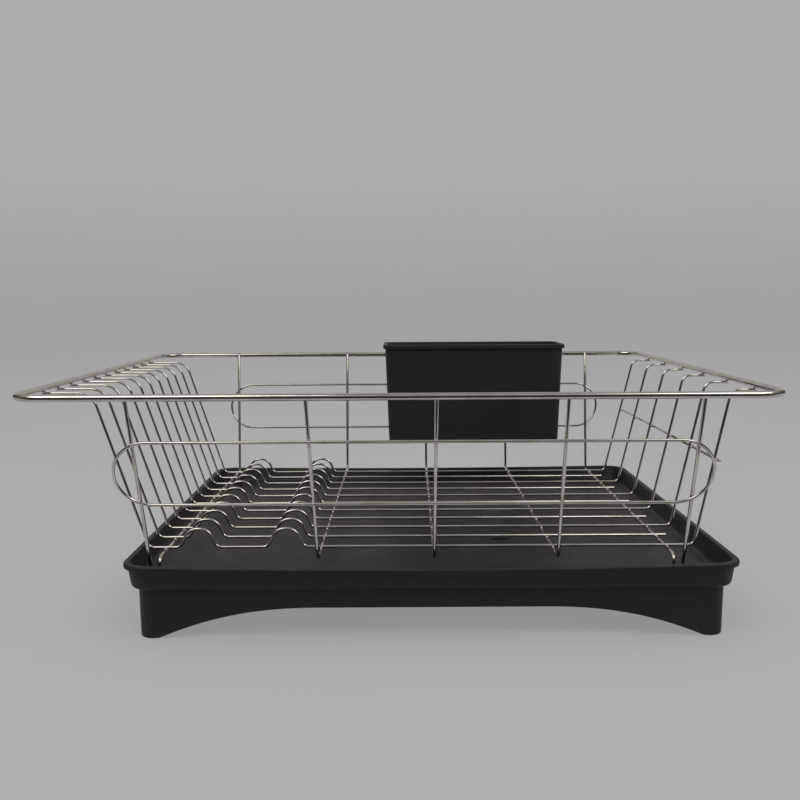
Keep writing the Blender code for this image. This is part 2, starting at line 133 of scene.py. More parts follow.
TRAY_WIDTH = 0.4055
TRAY_DEPTH = 0.327
TRAY_CENTRE = (0.0205, 0.012)
TRAY_CORNER = 0.017
CORNER_SHRINK = 0.8
LEAST_CORNER = 0.003
LIP_Z = 0.0512
LIP_DROP = 0.0034
LIP_WIDTH = 0.0041
NECK_INSET = 0.0026
NECK_DROP = 0.0038
LEDGE_INSET = 0.0045
PAN_INSET = 0.0083
PAN_EDGE_INSET = 0.026  # where the drain's rings take over
FLOOR_Z = 0.0385
FLOOR_THICKNESS = 0.0026
LEDGE_Z = 0.0338
FRONT_SAG = 0.0026
BACK_SAG = 0.0014
SAG_START_Z = FLOOR_Z + 0.003
SKIRT_INSET = 0.0088
SKIRT_DRAFT = 0.0004
SKIRT_WALL = 0.0025
SKIRT_TAPER = 0.0002
LEG_WIDTH = 0.013
ARCH_HEIGHT = 0.0203
FRONT_ARCH_RAMP = 0.1055
SIDE_ARCH_RAMP = 0.084
ARCH_POWER = 2.3
ARCH_EASE = 0.0015  # rounds the corner where an arch meets a leg
DRAIN_CENTRE = (0.0762, -0.035)
DRAIN_RADIUS = 0.015
DRAIN_DEPTH = 0.0035
DRAIN_FLARE = 1.9
DRAIN_HOLE_RADIUS = 0.0068
DRAIN_BOSS_RADIUS = 0.016
DRAIN_BEAD = 0.0004  # the raised ring's height
DRAIN_BEAD_INSIDE = 0.0016  # outwards of the drain's radius
DRAIN_BEAD_OUTSIDE = 0.0022
DRAIN_FLAT_REACH = 0.005  # outwards of the boss, on the floor
DRAIN_UNDER_REACH = 0.004  # and on its underside
DRAIN_BOSS_Z = 0.0320

HOLDER_X = 0.0696
HOLDER_CORNER = 0.005
HOLDER_INNER_CORNER = 0.003
# Width, depth, centre Y, height and edge rounding of each ring
HOLDER_OUTSIDE = (
    (0.1572, 0.0389, 0.1397, 0.0868, 0.0),
    (0.1589, 0.0406, 0.1397, 0.0868, 0.0008),
    (0.1652, 0.0514, 0.1455, 0.1728, 0.0003),
    (0.1688, 0.0550, 0.1455, 0.1730, 0.0003),
    (0.1688, 0.0550, 0.1455, 0.1765, 0.0005),
)
HOLDER_INSIDE = (
    (0.1612, 0.0474, 0.1455, 0.1765, 0.0005),
    (0.1552, 0.0369, 0.1397, 0.0888, 0.0010),
    (0.1502, 0.0319, 0.1397, 0.0888, 0.0),
)
SLOT_COUNT = 7
SLOT_PITCH = 0.0195
SLOT_SIZE = (0.003, 0.024, 0.010)
HOOK_OFFSETS = (-0.048, 0.048)
HOOK_WIDTH = 0.022
HOOK_THICKNESS = 0.0022
HOOK_ROOT_Y = 0.1692
HOOK_REST = 0.0004
HOOK_SLACK = 0.0008
HOOK_TIP_Z = 0.1560

BEND_STEP = math.radians(7)
EDGE_STEP = math.radians(22)
SHARP_ANGLE = math.radians(40)
FLAT_WEIGHT = 80
CORNER_STEPS = 9
LONG_SIDE_STEPS = 90
SHORT_SIDE_STEPS = 70
WELD_TUCK = 0.55  # a weld's reach between two wires, as a share of the thinner wire's radius
WELD_SPREAD = 1.15

# ------------------------------------------------------------------ camera

CAMERA_PLACE = (0.0005, -0.7035, 0.2264)
CAMERA_PITCH = math.radians(7.0)
CAMERA_ROLL = math.radians(-0.32)
CAMERA_LENS = 39.93  # mm
CAMERA_SENSOR = 36.0
CAMERA_CLIP = 0.02


def make_camera():
    camera = bpy.data.objects.new("camera", bpy.data.cameras.new("camera"))
    bpy.context.scene.collection.objects.link(camera)
    camera.data.lens = CAMERA_LENS
    camera.data.sensor_width = CAMERA_SENSOR
    camera.data.clip_start = CAMERA_CLIP
    tilt = Matrix.Rotation(math.pi / 2 - CAMERA_PITCH, 4, "X")
    roll = Matrix.Rotation(CAMERA_ROLL, 4, "Z")
    camera.matrix_world = Matrix.Translation(CAMERA_PLACE) @ tilt @ roll
    bpy.context.scene.camera = camera


# ------------------------------------------------------------------ materials

# Each tint's place on the ramp and its colour
CHROME_TINTS = (
    (0.30, (0.52, 0.49, 0.445)),
    (0.55, (0.66, 0.635, 0.59)),
    (0.80, (0.74, 0.72, 0.68)),
)
CHROME_SPECK = (0.40, 0.37, 0.33)
CHROME_ROUGHNESS = (0.045, 0.12)
UPWARD_NORMALS = (0.20, 0.95)  # a normal's Z, where the painted top light and the dust begin and lie in full
PLASTIC_SPECULAR = 0.36
# Share of the pale colour, in streaks, on faces that look up: a little dust plus painted top light
# that makes them lighter, as if lit from above
DUST_AND_TOP_LIGHT_SHARE = (0.06, 0.34)

class Graph:
    """A material's node tree, with short calls that add a node and link its inputs."""

    def __init__(self, name):
        self.material = bpy.data.materials.new(name)
        self.material.use_nodes = True
        self.tree = self.material.node_tree
        self.shader = self.tree.nodes["Principled BSDF"]
        self.place = self.add("ShaderNodeTexCoord").outputs["Object"]

    def add(self, kind, **settings):
        node = self.tree.nodes.new(kind)
        for key, value in settings.items():
            setattr(node, key, value)
        return node

    def link(self, source, target):
        self.tree.links.new(source, target)

    def noise(self, scale, detail=3.0, roughness=0.5, stretch=None):
        node = self.add("ShaderNodeTexNoise")
        node.inputs["Scale"].default_value = scale
        node.inputs["Detail"].default_value = detail
        node.inputs["Roughness"].default_value = roughness
        place = self.place
        if stretch:
            mapping = self.add("ShaderNodeMapping")
            mapping.inputs["Scale"].default_value = stretch
            self.link(place, mapping.inputs["Vector"])
            place = mapping.outputs["Vector"]
        self.link(place, node.inputs["Vector"])
        return node.outputs["Fac"]

    def remap(self, value, low, high, to_low, to_high):
        node = self.add("ShaderNodeMapRange")
        self.link(value, node.inputs["Value"])
        for key, number in (
            ("From Min", low),
            ("From Max", high),
            ("To Min", to_low),
            ("To Max", to_high),
        ):
            node.inputs[key].default_value = number
        return node.outputs["Result"]

    def multiply(self, first, second):
        node = self.add("ShaderNodeMath", operation="MULTIPLY")
        self.link(first, node.inputs[0])
        self.link(second, node.inputs[1])
        return node.outputs["Value"]

    def ramp(self, value, *stops):
        node = self.add("ShaderNodeValToRGB")
        self.link(value, node.inputs["Fac"])
        elements = node.color_ramp.elements
        while len(elements) < len(stops):
            elements.new(0.5)
        for element, (position, colour) in zip(elements, stops):
            element.position = position
            element.color = (*colour, 1.0)
        return node.outputs["Color"]

    def mix(self, share, first, second):
        """From the linked colour first to the plain colour second."""
        node = self.add("ShaderNodeMix", data_type="RGBA")
        self.link(share, node.inputs["Factor"])
        self.link(first, node.inputs["A"])
        node.inputs["B"].default_value = (*second, 1.0)
        return node.outputs["Result"]

    def bump(self, height, distance, strength, below=None):
        node = self.add("ShaderNodeBump")
        node.inputs["Distance"].default_value = distance
        node.inputs["Strength"].default_value = strength
        self.link(height, node.inputs["Height"])
        if below:
            self.link(below, node.inputs["Normal"])
        return node.outputs["Normal"]


def upward(graph):
    """1 on faces that look up, 0 on the rest: the mask for the plastic's painted top light and
    dust.
    """
    geometry = graph.add("ShaderNodeNewGeometry")
    split = graph.add("ShaderNodeSeparateXYZ")
    graph.link(geometry.outputs["Normal"], split.inputs["Vector"])
    return graph.remap(split.outputs["Z"], *UPWARD_NORMALS, 0.0, 1.0)


def chrome_material():
    """Bright plating over drawn wire: faint tint patches, haze and a fine uneven surface."""
    graph = Graph("chrome_plate")
    shader = graph.shader
    shader.inputs["Metallic"].default_value = 1.0
    patches = graph.noise(60.0, 4.0, 0.6)
    tint = graph.ramp(patches, *CHROME_TINTS)
    specks = graph.remap(graph.noise(900.0, 2.0, 0.7), 0.66, 0.76, 0.0, 1.0)
    graph.link(graph.mix(specks, tint, CHROME_SPECK), shader.inputs["Base Color"])
    haze = graph.remap(graph.noise(110.0, 5.0, 0.65), 0.35, 0.75, *CHROME_ROUGHNESS)
    graph.link(haze, shader.inputs["Roughness"])
    waves = graph.bump(graph.noise(170.0, 2.0), 0.0004, 0.10)
    grain = graph.bump(graph.noise(2600.0, 2.0), 0.00005, 0.10, waves)
    graph.link(grain, shader.inputs["Normal"])
    return graph.material


def plastic_material(name, dark, light, dust_and_top_light, roughness, grain_scale):
    """Moulded black plastic: fine grain, slow colour drift, rubbed patches, and a pale colour on
    faces that look up, which is partly a little dust and partly painted top light.
    """
    graph = Graph(name)
    shader = graph.shader
    shader.inputs["Specular IOR Level"].default_value = PLASTIC_SPECULAR
    drift = graph.ramp(graph.noise(14.0, 4.0, 0.6), (0.30, dark), (0.72, light))
    # Painted top light with dust: faces that look up are mixed in streaks towards the pale colour,
    # lighter as if lit from above
    streak_noise = graph.noise(9.0, 5.0, 0.7, (1.0, 6.0, 6.0))
    dust_and_light_streaks = graph.remap(streak_noise, 0.35, 0.75, *DUST_AND_TOP_LIGHT_SHARE)
    dust_and_top_light_mask = graph.multiply(upward(graph), dust_and_light_streaks)
    graph.link(graph.mix(dust_and_top_light_mask, drift, dust_and_top_light), shader.inputs["Base Color"])
    rubbed = graph.noise(26.0, 6.0, 0.7)
    graph.link(
        graph.remap(rubbed, 0.3, 0.7, roughness - 0.06, roughness + 0.08),
        shader.inputs["Roughness"],
    )
    coarse = graph.bump(graph.noise(grain_scale, 3.0, 0.6), 0.00012, 0.22)
    fine = graph.bump(graph.noise(grain_scale * 3.1, 2.0), 0.00005, 0.18, coarse)
    graph.link(fine, shader.inputs["Normal"])
    return graph.material


def stage_material():
    """Matt paper that glows a little, as on a light table, and more on the wall."""
    graph = Graph("stage_paper")
    low, high = (STAGE_TONE * 0.98,) * 3, (STAGE_TONE,) * 3
    tone = graph.ramp(graph.noise(3.0, 3.0), (0.2, low), (0.8, high))
    graph.link(tone, graph.shader.inputs["Base Color"])
    graph.link(tone, graph.shader.inputs["Emission Color"])
    split = graph.add("ShaderNodeSeparateXYZ")
    graph.link(graph.place, split.inputs["Vector"])
    glow = graph.remap(split.outputs["Z"], 0.0, STAGE_GLOW_TOP, STAGE_GLOW, STAGE_WALL_GLOW)
    graph.link(glow, graph.shader.inputs["Emission Strength"])
    graph.shader.inputs["Roughness"].default_value = STAGE_ROUGHNESS
    graph.shader.inputs["Specular IOR Level"].default_value = STAGE_SPECULAR
    return graph.material


# ------------------------------------------------------------------ shapes


def rounded_path(corners, step, closed=False):
    """Points of straight runs joined by arcs. corners holds (point, radius) pairs."""
    points = []
    last = len(corners) - 1
    for index, (corner, radius) in enumerate(corners):
        corner = Vector(corner)
        if radius == 0.0 or (not closed and index in (0, last)):
            points.append(corner)
            continue
        before = (Vector(corners[index - 1][0]) - corner).normalized()
        after = (Vector(corners[(index + 1) % len(corners)][0]) - corner).normalized()
        half_opening = before.angle(after) / 2
        centre = corner + (before + after).normalized() * radius / math.sin(half_opening)
        reach = radius / math.tan(half_opening)
        start = (corner + before * reach - centre).normalized()
        end = (corner + after * reach - centre).normalized()
        steps = max(2, round((math.pi - 2 * half_opening) / step))
        points += [centre + start.slerp(end, i / steps) * radius for i in range(steps + 1)]
    return points


def with_round_ends(points, diameter):
    """The points of an open wire with (point, radius scale) pairs that round its two ends."""
    reach = diameter * END_ROUNDING
    turns = [math.radians(angle) for angle in END_TURNS]
    start_way = (points[1] - points[0]).normalized()
    end_way = (points[-2] - points[-1]).normalized()
    start = [(points[0] + start_way * reach * (1 - math.cos(a)), math.sin(a)) for a in turns]
    end = [(points[-1] + end_way * reach * (1 - math.cos(a)), math.sin(a)) for a in turns]
    middle = [(point, 1.0) for point in points[1:-1]]
    shoulders = (
        (points[0] + start_way * reach, 1.0),
        (points[-1] + end_way * reach, 1.0),
    )
    return [*start, shoulders[0], *middle, shoulders[1], *reversed(end)]


def finish_piece(piece, node, body, material):
    piece.data.materials.clear()
    piece.data.materials.append(material)
    bpy.context.scene.collection.objects.link(piece)
    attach(piece, body)
    if node:
        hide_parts(node)


def make_wire(node, points, diameter, closed=False):
    curve = bpy.data.curves.new("visual_" + node, "CURVE")
    curve.dimensions = "3D"
    curve.bevel_depth = diameter / 2
    curve.bevel_resolution = WIRE_RESOLUTION
    curve.use_fill_caps = True
    knots = [(point, 1.0) for point in points] if closed else with_round_ends(points, diameter)
    spline = curve.splines.new("POLY")
    spline.points.add(len(knots) - 1)
    for knot, (point, scale) in zip(spline.points, knots):
        knot.co = (*point, 1.0)
        knot.radius = scale
    spline.use_cyclic_u = closed
    spline.use_smooth = True
    wire = bpy.data.objects.new("visual_" + node, curve)
    finish_piece(wire, node, "basket", CHROME)


def piece_from_bmesh(name, body):
    mesh = bpy.data.meshes.new(name)
    body.to_mesh(mesh)
    body.free()
    return bpy.data.objects.new(name, mesh)


def loft(name, rings, ring_closed=False):
    """A closed body through rings of equal length, with filled ends or joined to a loop."""
    body = bmesh.new()
    loops = [[body.verts.new(point) for point in ring] for ring in rings]
    pairs = list(zip(loops, loops[1:]))
    if ring_closed:
        pairs.append((loops[-1], loops[0]))
    else:
        body.faces.new(loops[0])
        body.faces.new(reversed(loops[-1]))
    for lower, upper in pairs:
        for i in range(len(lower)):
            j = (i + 1) % len(lower)
            body.faces.new((lower[i], lower[j], upper[j], upper[i]))
    bmesh.ops.recalc_face_normals(body, faces=body.faces)
    return piece_from_bmesh(name, body)


def rounded_rectangle(width, depth, radius, long_steps=1, short_steps=1):
    """(x, y) points anticlockwise, with each long and short side split into steps."""
    points = []
    for corner, (side_x, side_y) in enumerate(((1, 1), (-1, 1), (-1, -1), (1, -1))):
        centre = Vector((side_x * (width / 2 - radius), side_y * (depth / 2 - radius)))
        for step in range(CORNER_STEPS + 1):
            angle = (corner + step / CORNER_STEPS) * math.pi / 2
            points.append(centre + radius * Vector((math.cos(angle), math.sin(angle))))
        start = points[-1]
        if corner in (0, 2):
            end, steps = Vector((-start.x, start.y)), long_steps
        else:
            end, steps = Vector((start.x, -start.y)), short_steps
        points += [start.lerp(end, i / steps) for i in range(1, steps)]
    return points


def smooth_with_flats(piece):
    """Smooth shading whose flat faces stay flat beside small fillets."""
    piece.data.shade_smooth()
    piece.data.set_sharp_from_angle(angle=SHARP_ANGLE)
    weighted = piece.modifiers.new("flat_faces", "WEIGHTED_NORMAL")
    weighted.keep_sharp = True
    weighted.weight = FLAT_WEIGHT


# ------------------------------------------------------------------ wire basket


def make_top_rim():
    half_width = (RIM_WIDTH - RIM_WIRE) / 2
    half_depth = (RIM_DEPTH - RIM_WIRE) / 2
    radius = RIM_CORNER - RIM_WIRE / 2
    corners = [
        ((side_x * half_width, side_y * half_depth, RIM_Z), radius)
        for side_x, side_y in ((1, 1), (-1, 1), (-1, -1), (1, -1))
    ]
    make_wire("top_rim", rounded_path(corners, BEND_STEP, closed=True), RIM_WIRE, closed=True)


def plate_y(index):
    return PLATE_FRONT_Y + index * PLATE_PITCH


def plate_ends(share):
    """X of a flat run's left and right ends, with share going from 0 at the front to 1."""
    left = PLATE_LEFT_FRONT + (PLATE_LEFT_BACK - PLATE_LEFT_FRONT) * share
    right = PLATE_RIGHT_FRONT + (PLATE_RIGHT_BACK - PLATE_RIGHT_FRONT) * share
    return left, right


def plate_wire_corners(share, is_long):
    """(x, z) corners with their radii, from the left shoulder."""
    left, right = plate_ends(share)
    rise = SHOULDER_Z - PLATE_Z
    corners = [
        ((-SHOULDER_END, SHOULDER_Z), 0.0),
        ((left - rise * math.tan(LEFT_LEAN), SHOULDER_Z), LEFT_SHOULDER_RADIUS),
        ((left, PLATE_Z), PLATE_FOOT_RADIUS),
    ]
    for front, back in zip(HUMP_CENTRES_FRONT, HUMP_CENTRES_BACK):
        centre = front + (back - front) * share
        top = PLATE_Z + HUMP_HEIGHT
        corners += [
            ((centre - HUMP_HALF_BASE, PLATE_Z), HUMP_FOOT_RADIUS),
            ((centre - HUMP_HALF_TOP, top), HUMP_TOP_RADIUS),
            ((centre + HUMP_HALF_TOP, top), HUMP_TOP_RADIUS),
            ((centre + HUMP_HALF_BASE, PLATE_Z), HUMP_FOOT_RADIUS),
        ]
    if is_long:
        corners += [
            ((right, PLATE_Z), PLATE_FOOT_RADIUS),
            ((RIGHT_SHOULDER_X, SHOULDER_Z), RIGHT_SHOULDER_RADIUS),
            ((SHOULDER_END, SHOULDER_Z), 0.0),
        ]
    else:
        corners.append(((PLATE_SHORT_END, PLATE_Z), 0.0))
    return corners


def make_plate_wires():
    for index in range(PLATE_COUNT):
        outline = plate_wire_corners(index / (PLATE_COUNT - 1), index % 2 == 0)
        corners = [((x, plate_y(index), z), radius) for (x, z), radius in outline]
        name = f"plate_wire_{index + 1:02d}"
        make_wire(name, rounded_path(corners, BEND_STEP), PLATE_WIRE)


def wall_slope(bend_y):
    """How far a wall comes inwards for each metre down."""
    return (FRAME_TOP_Y - abs(bend_y)) / (FRAME_TOP_Z - FRAME_Z)


def make_middle_frames():
    for name, (front_top, front_bend, back_bend, back_top) in MIDDLE_FRAMES.items():
        corners = [
            ((front_top, -FRAME_TOP_Y, FRAME_TOP_Z), 0.0),
            ((front_bend, FRONT_BEND_Y, FRAME_Z), BEND_RADIUS),
            ((back_bend, BACK_BEND_Y, FRAME_Z), BEND_RADIUS),
            ((back_top, FRAME_TOP_Y, FRAME_TOP_Z), 0.0),
        ]
        make_wire(name, rounded_path(corners, BEND_STEP), FRAME_WIRE)


def end_frame_levels():
    """Height of the feet, and Y of the front feet, the back feet and the back returns."""
    foot_z = FLOOR_Z + GAP + FRAME_WIRE / 2
    drop = FRAME_TOP_Z - foot_z
    front_y = drop * wall_slope(FRONT_BEND_Y) - FRAME_TOP_Y
    back_y = FRAME_TOP_Y - drop * wall_slope(BACK_BEND_Y)
    return foot_z, front_y, back_y, back_y - FOOT_SPREAD


def make_end_frames():
    foot_z, front_y, back_y, inner_back_y = end_frame_levels()
    for name, places in END_FRAMES.items():
        front_top, front_foot, front_return, back_return, back_foot, back_top = places
        corners = [
            ((front_top, -FRAME_TOP_Y, FRAME_TOP_Z), 0.0),
            ((front_foot, front_y, foot_z), FOOT_TURN_RADIUS),
            ((front_return, front_y, foot_z), FOOT_TURN_RADIUS),
            ((front_return, front_y, FRAME_Z), BEND_RADIUS),
            ((back_return, inner_back_y, FRAME_Z), BEND_RADIUS),
            ((back_return, inner_back_y, foot_z), FOOT_TURN_RADIUS),
            ((back_foot, back_y, foot_z), FOOT_TURN_RADIUS),
            ((back_top, FRAME_TOP_Y, FRAME_TOP_Z), 0.0),
        ]
        make_wire(name, rounded_path(corners, BEND_STEP), FRAME_WIRE)


def wall_normal(bend_y):
    """Outward normal of the leaning front or back wall."""
    side = math.copysign(1.0, bend_y)
    return Vector((0.0, side, -wall_slope(bend_y))).normalized()


def wall_point(x, z, bend_y):
    """The middle of a frame wire at that height on the front or back wall."""
    side = math.copysign(1.0, bend_y)
    return Vector((x, side * (FRAME_TOP_Y - (FRAME_TOP_Z - z) * wall_slope(bend_y)), z))


def make_loops():
    for name, (bend_y, ends, levels) in LOOPS.items():
        out = wall_normal(bend_y)
        up = Vector((0.0, out.z, -out.y)) * -math.copysign(1.0, bend_y)
        middle = wall_point(sum(ends) / 2, sum(levels) / 2, bend_y)
        middle += out * ((FRAME_WIRE + LOOP_WIRE) / 2 + GAP)
        half_height = (levels[1] - levels[0]) / 2 / up.z
        straight = (ends[1] - ends[0]) / 2 - half_height
        points = []
        steps = round(math.pi / BEND_STEP)
        for direction in (1, -1):
            for step in range(steps + 1):
                angle = math.pi * step / steps - math.pi / 2
                x = direction * (straight + half_height * math.cos(angle))
                rise = direction * half_height * math.sin(angle)
                points.append(middle + Vector((x, 0.0, 0.0)) + up * rise)
        make_wire(name, points, LOOP_WIRE, closed=True)


def riser_x(y):
    """X of the right risers at the rail's height."""
    share = (y - PLATE_FRONT_Y) / (PLATE_PITCH * (PLATE_COUNT - 1))
    foot_x = plate_ends(share)[1]
    height_share = (RAIL_Z - PLATE_Z) / (SHOULDER_Z - PLATE_Z)
    return foot_x + (RIGHT_SHOULDER_X - foot_x) * height_share


def make_right_side_rail():
    offset = ((PLATE_WIRE + RAIL_WIRE) / 2 + GAP) / math.cos(RIGHT_LEAN)
    points = [
        Vector((riser_x(y) + offset, y, RAIL_Z))
        for y in (plate_y(0) - RAIL_OVERHANG, plate_y(PLATE_COUNT - 1) + RAIL_OVERHANG)
    ]
    make_wire("right_side_rail", points, RAIL_WIRE)


def lerp_at(y, start, end):
    """X at y on the line between two (x, y) points."""
    return start[0] + (end[0] - start[0]) * (y - start[1]) / (end[1] - start[1])


def weld_places():
    """(centre, direction between the wires, thinner wire's radius) of every weld."""
    thin = PLATE_WIRE / 2
    welds = []
    _, front_y, _, inner_back_y = end_frame_levels()
    floor_runs = [
        ((places[1], FRONT_BEND_Y), (places[2], BACK_BEND_Y)) for places in MIDDLE_FRAMES.values()
    ]
    floor_runs += [
        ((places[2], front_y), (places[3], inner_back_y)) for places in END_FRAMES.values()
    ]
    under_plate = PLATE_Z - thin - GAP / 2
    rim_x = (RIM_WIDTH - RIM_WIRE) / 2
    under_rim = RIM_Z - RIM_WIRE / 2 - GAP / 2
    for index in range(PLATE_COUNT):
        y = plate_y(index)
        for start, end in floor_runs:
            place = Vector((lerp_at(y, start, end), y, under_plate))
            welds.append((place, Vector((0, 0, 1)), thin))
        sides = (-1, 1) if index % 2 == 0 else (-1,)
        for side in sides:
            welds.append((Vector((side * rim_x, y, under_rim)), Vector((0, 0, 1)), thin))
        if index % 2 == 0:
            lean = Vector((math.cos(RIGHT_LEAN), 0.0, -math.sin(RIGHT_LEAN)))
            place = Vector((riser_x(y), y, RAIL_Z)) + lean * (thin + GAP / 2)
            welds.append((place, lean, thin))
    tops = []
    for places in (*MIDDLE_FRAMES.values(), *END_FRAMES.values()):
        bends = (places[1], places[-2])
        tops.append((places[0], bends[0], FRONT_BEND_Y))
        tops.append((places[-1], bends[1], BACK_BEND_Y))
    for top_x, low_x, bend_y in tops:
        side = math.copysign(1.0, bend_y)
        inside_rim = side * (RIM_DEPTH / 2 - RIM_WIRE - GAP / 2)
        welds.append((Vector((top_x, inside_rim, RIM_Z)), Vector((0, side, 0)), FRAME_WIRE / 2))
        loop = LOOPS["front_loop" if side < 0 else "back_loop"]
        out = wall_normal(bend_y)
        for level, inward in ((loop[2][0], 1), (loop[2][1], -1)):
            z = level + inward * LOOP_WIRE / 2
            x = top_x + (low_x - top_x) * (FRAME_TOP_Z - z) / (FRAME_TOP_Z - FRAME_Z)
            near_end = min(x - loop[1][0], loop[1][1] - x)
            radius = (loop[2][1] - loop[2][0]) / 2
            if near_end < radius:
                drop = radius - math.sqrt(radius**2 - (radius - near_end) ** 2)
                z += inward * drop
            place = wall_point(x, z, bend_y) + out * ((FRAME_WIRE + GAP) / 2)
            welds.append((place, out, LOOP_WIRE / 2))
    return welds


def make_welds():
    """Small fused nuggets where the wires cross."""
    body = bmesh.new()
    for place, way, radius in weld_places():
        made = bmesh.ops.create_icosphere(body, subdivisions=2, radius=1.0)["verts"]
        wide = radius * WELD_SPREAD
        shape = Matrix.Diagonal((wide, wide, radius * WELD_TUCK + GAP, 1.0))
        turn = way.to_track_quat("Z", "Y").to_matrix().to_4x4()
        bmesh.ops.transform(body, verts=made, matrix=Matrix.Translation(place) @ turn @ shape)
    welds = piece_from_bmesh("weld_nuggets", body)
    welds.data.shade_smooth()
    finish_piece(welds, None, "basket", CHROME)


def make_basket():
    make_top_rim()
    make_plate_wires()
    make_middle_frames()
    make_end_frames()
    make_loops()
    make_right_side_rail()
    make_welds()


# ------------------------------------------------------------------ drain tray


def arch_rise(x, y):
    """Height of the skirt's lower edge above the counter, at a place on the tray's outline."""
    past_x = TRAY_WIDTH / 2 - SKIRT_INSET - LEG_WIDTH - abs(x)
    past_y = TRAY_DEPTH / 2 - SKIRT_INSET - LEG_WIDTH - abs(y)
    if past_x > 0.0 and past_y > 0.0:
        raise ValueError("not a place on the outline")
    run, ramp = (past_x, FRONT_ARCH_RAMP) if past_x > 0.0 else (past_y, SIDE_ARCH_RAMP)
    if run <= 0.0:
        return 0.0
    share = min(1.0, run * run / (run + ARCH_EASE) / ramp)
    return ARCH_HEIGHT * (1.0 - (1.0 - share) ** ARCH_POWER)


def tray_ring(inset, z):
    """One ring of the tray: the long sides of the lip sag, and the skirt ends in arches."""
    width = TRAY_WIDTH - 2 * inset
    depth = TRAY_DEPTH - 2 * inset
    radius = max(LEAST_CORNER, TRAY_CORNER - inset * CORNER_SHRINK)
    outline = rounded_rectangle(width, depth, radius, LONG_SIDE_STEPS, SHORT_SIDE_STEPS)
    sag_share = max(0.0, (z - SAG_START_Z) / (LIP_Z - SAG_START_Z))
    half_run = TRAY_WIDTH / 2 - inset - TRAY_CORNER
    ring = []
    for place in outline:
        height = z
        if sag_share > 0.0:
            sag = FRONT_SAG if place.y < 0.0 else BACK_SAG
            height -= sag * sag_share * (1.0 - min(1.0, abs(place.x) / half_run) ** 2)
        elif z < LEDGE_Z and inset < SKIRT_INSET + SKIRT_DRAFT + SKIRT_WALL + GAP:
            low = arch_rise(place.x, place.y)
            height = low + z * (LEDGE_Z - low) / LEDGE_Z
        ring.append(Vector((place.x + TRAY_CENTRE[0], place.y + TRAY_CENTRE[1], height)))
    return ring


def drain_ring(radius, z, around):
    """A ring round the drain, with one point in the direction of each point of around."""
    ring = []
    for point in around:
        angle = math.atan2(point.y - DRAIN_CENTRE[1], point.x - DRAIN_CENTRE[0])
        x = DRAIN_CENTRE[0] + radius * math.cos(angle)
        y = DRAIN_CENTRE[1] + radius * math.sin(angle)
        ring.append(Vector((x, y, z)))
    return ring


def drain_profile():
    """(radius, z) points from the floor down through the drain to the floor's underside."""
    recess_z = FLOOR_Z - DRAIN_DEPTH
    under = FLOOR_Z - FLOOR_THICKNESS
    foot = DRAIN_RADIUS - DRAIN_FLARE * DRAIN_DEPTH
    corners = [
        ((DRAIN_BOSS_RADIUS + DRAIN_FLAT_REACH, 0.0, FLOOR_Z), 0.0),
        ((DRAIN_RADIUS + DRAIN_BEAD_OUTSIDE, 0.0, FLOOR_Z), 0.0004),
        ((DRAIN_RADIUS + DRAIN_BEAD_INSIDE, 0.0, FLOOR_Z + DRAIN_BEAD), 0.0003),
        ((DRAIN_RADIUS, 0.0, FLOOR_Z + DRAIN_BEAD), 0.0004),
        ((foot, 0.0, recess_z), 0.0008),
        ((DRAIN_HOLE_RADIUS, 0.0, recess_z), 0.0004),
        ((DRAIN_HOLE_RADIUS, 0.0, DRAIN_BOSS_Z), 0.0004),
        ((DRAIN_BOSS_RADIUS, 0.0, DRAIN_BOSS_Z), 0.0006),
        ((DRAIN_BOSS_RADIUS, 0.0, under), 0.0006),
        ((DRAIN_BOSS_RADIUS + DRAIN_UNDER_REACH, 0.0, under), 0.0),
    ]
    return [(point.x, point.z) for point in rounded_path(corners, EDGE_STEP)]


def wall_profile():
    """(inset, z) points from the floor's underside, round the skirt and over the lip."""
    inner = SKIRT_INSET + SKIRT_DRAFT + SKIRT_WALL
    corners = [
        ((PAN_EDGE_INSET, 0.0, FLOOR_Z - FLOOR_THICKNESS), 0.0),
        ((inner + SKIRT_TAPER, 0.0, FLOOR_Z - FLOOR_THICKNESS), 0.0012),
        ((inner, 0.0, 0.0), 0.0008),
        ((SKIRT_INSET + SKIRT_DRAFT, 0.0, 0.0), 0.0008),
        ((SKIRT_INSET, 0.0, LEDGE_Z), 0.0005),
        ((LEDGE_INSET, 0.0, LEDGE_Z), 0.0032),
        ((NECK_INSET, 0.0, LIP_Z - NECK_DROP), 0.0004),
        ((0.0, 0.0, LIP_Z - LIP_DROP), 0.0005),
        ((0.0, 0.0, LIP_Z), 0.0013),
        ((LIP_WIDTH, 0.0, LIP_Z), 0.0012),
        ((PAN_INSET, 0.0, FLOOR_Z), 0.0042),
        ((PAN_EDGE_INSET, 0.0, FLOOR_Z), 0.0),
    ]
    return [(point.x, point.z) for point in rounded_path(corners, EDGE_STEP)]


def make_tray():
    wall = [tray_ring(inset, z) for inset, z in wall_profile()]
    drain = [drain_ring(radius, z, wall[-1]) for radius, z in drain_profile()]
    tray = loft("visual_drain_tray", wall + drain, ring_closed=True)
    smooth_with_flats(tray)
    finish_piece(tray, "drain_tray", "tray", TRAY_PLASTIC)


# ------------------------------------------------------------------ utensil holder


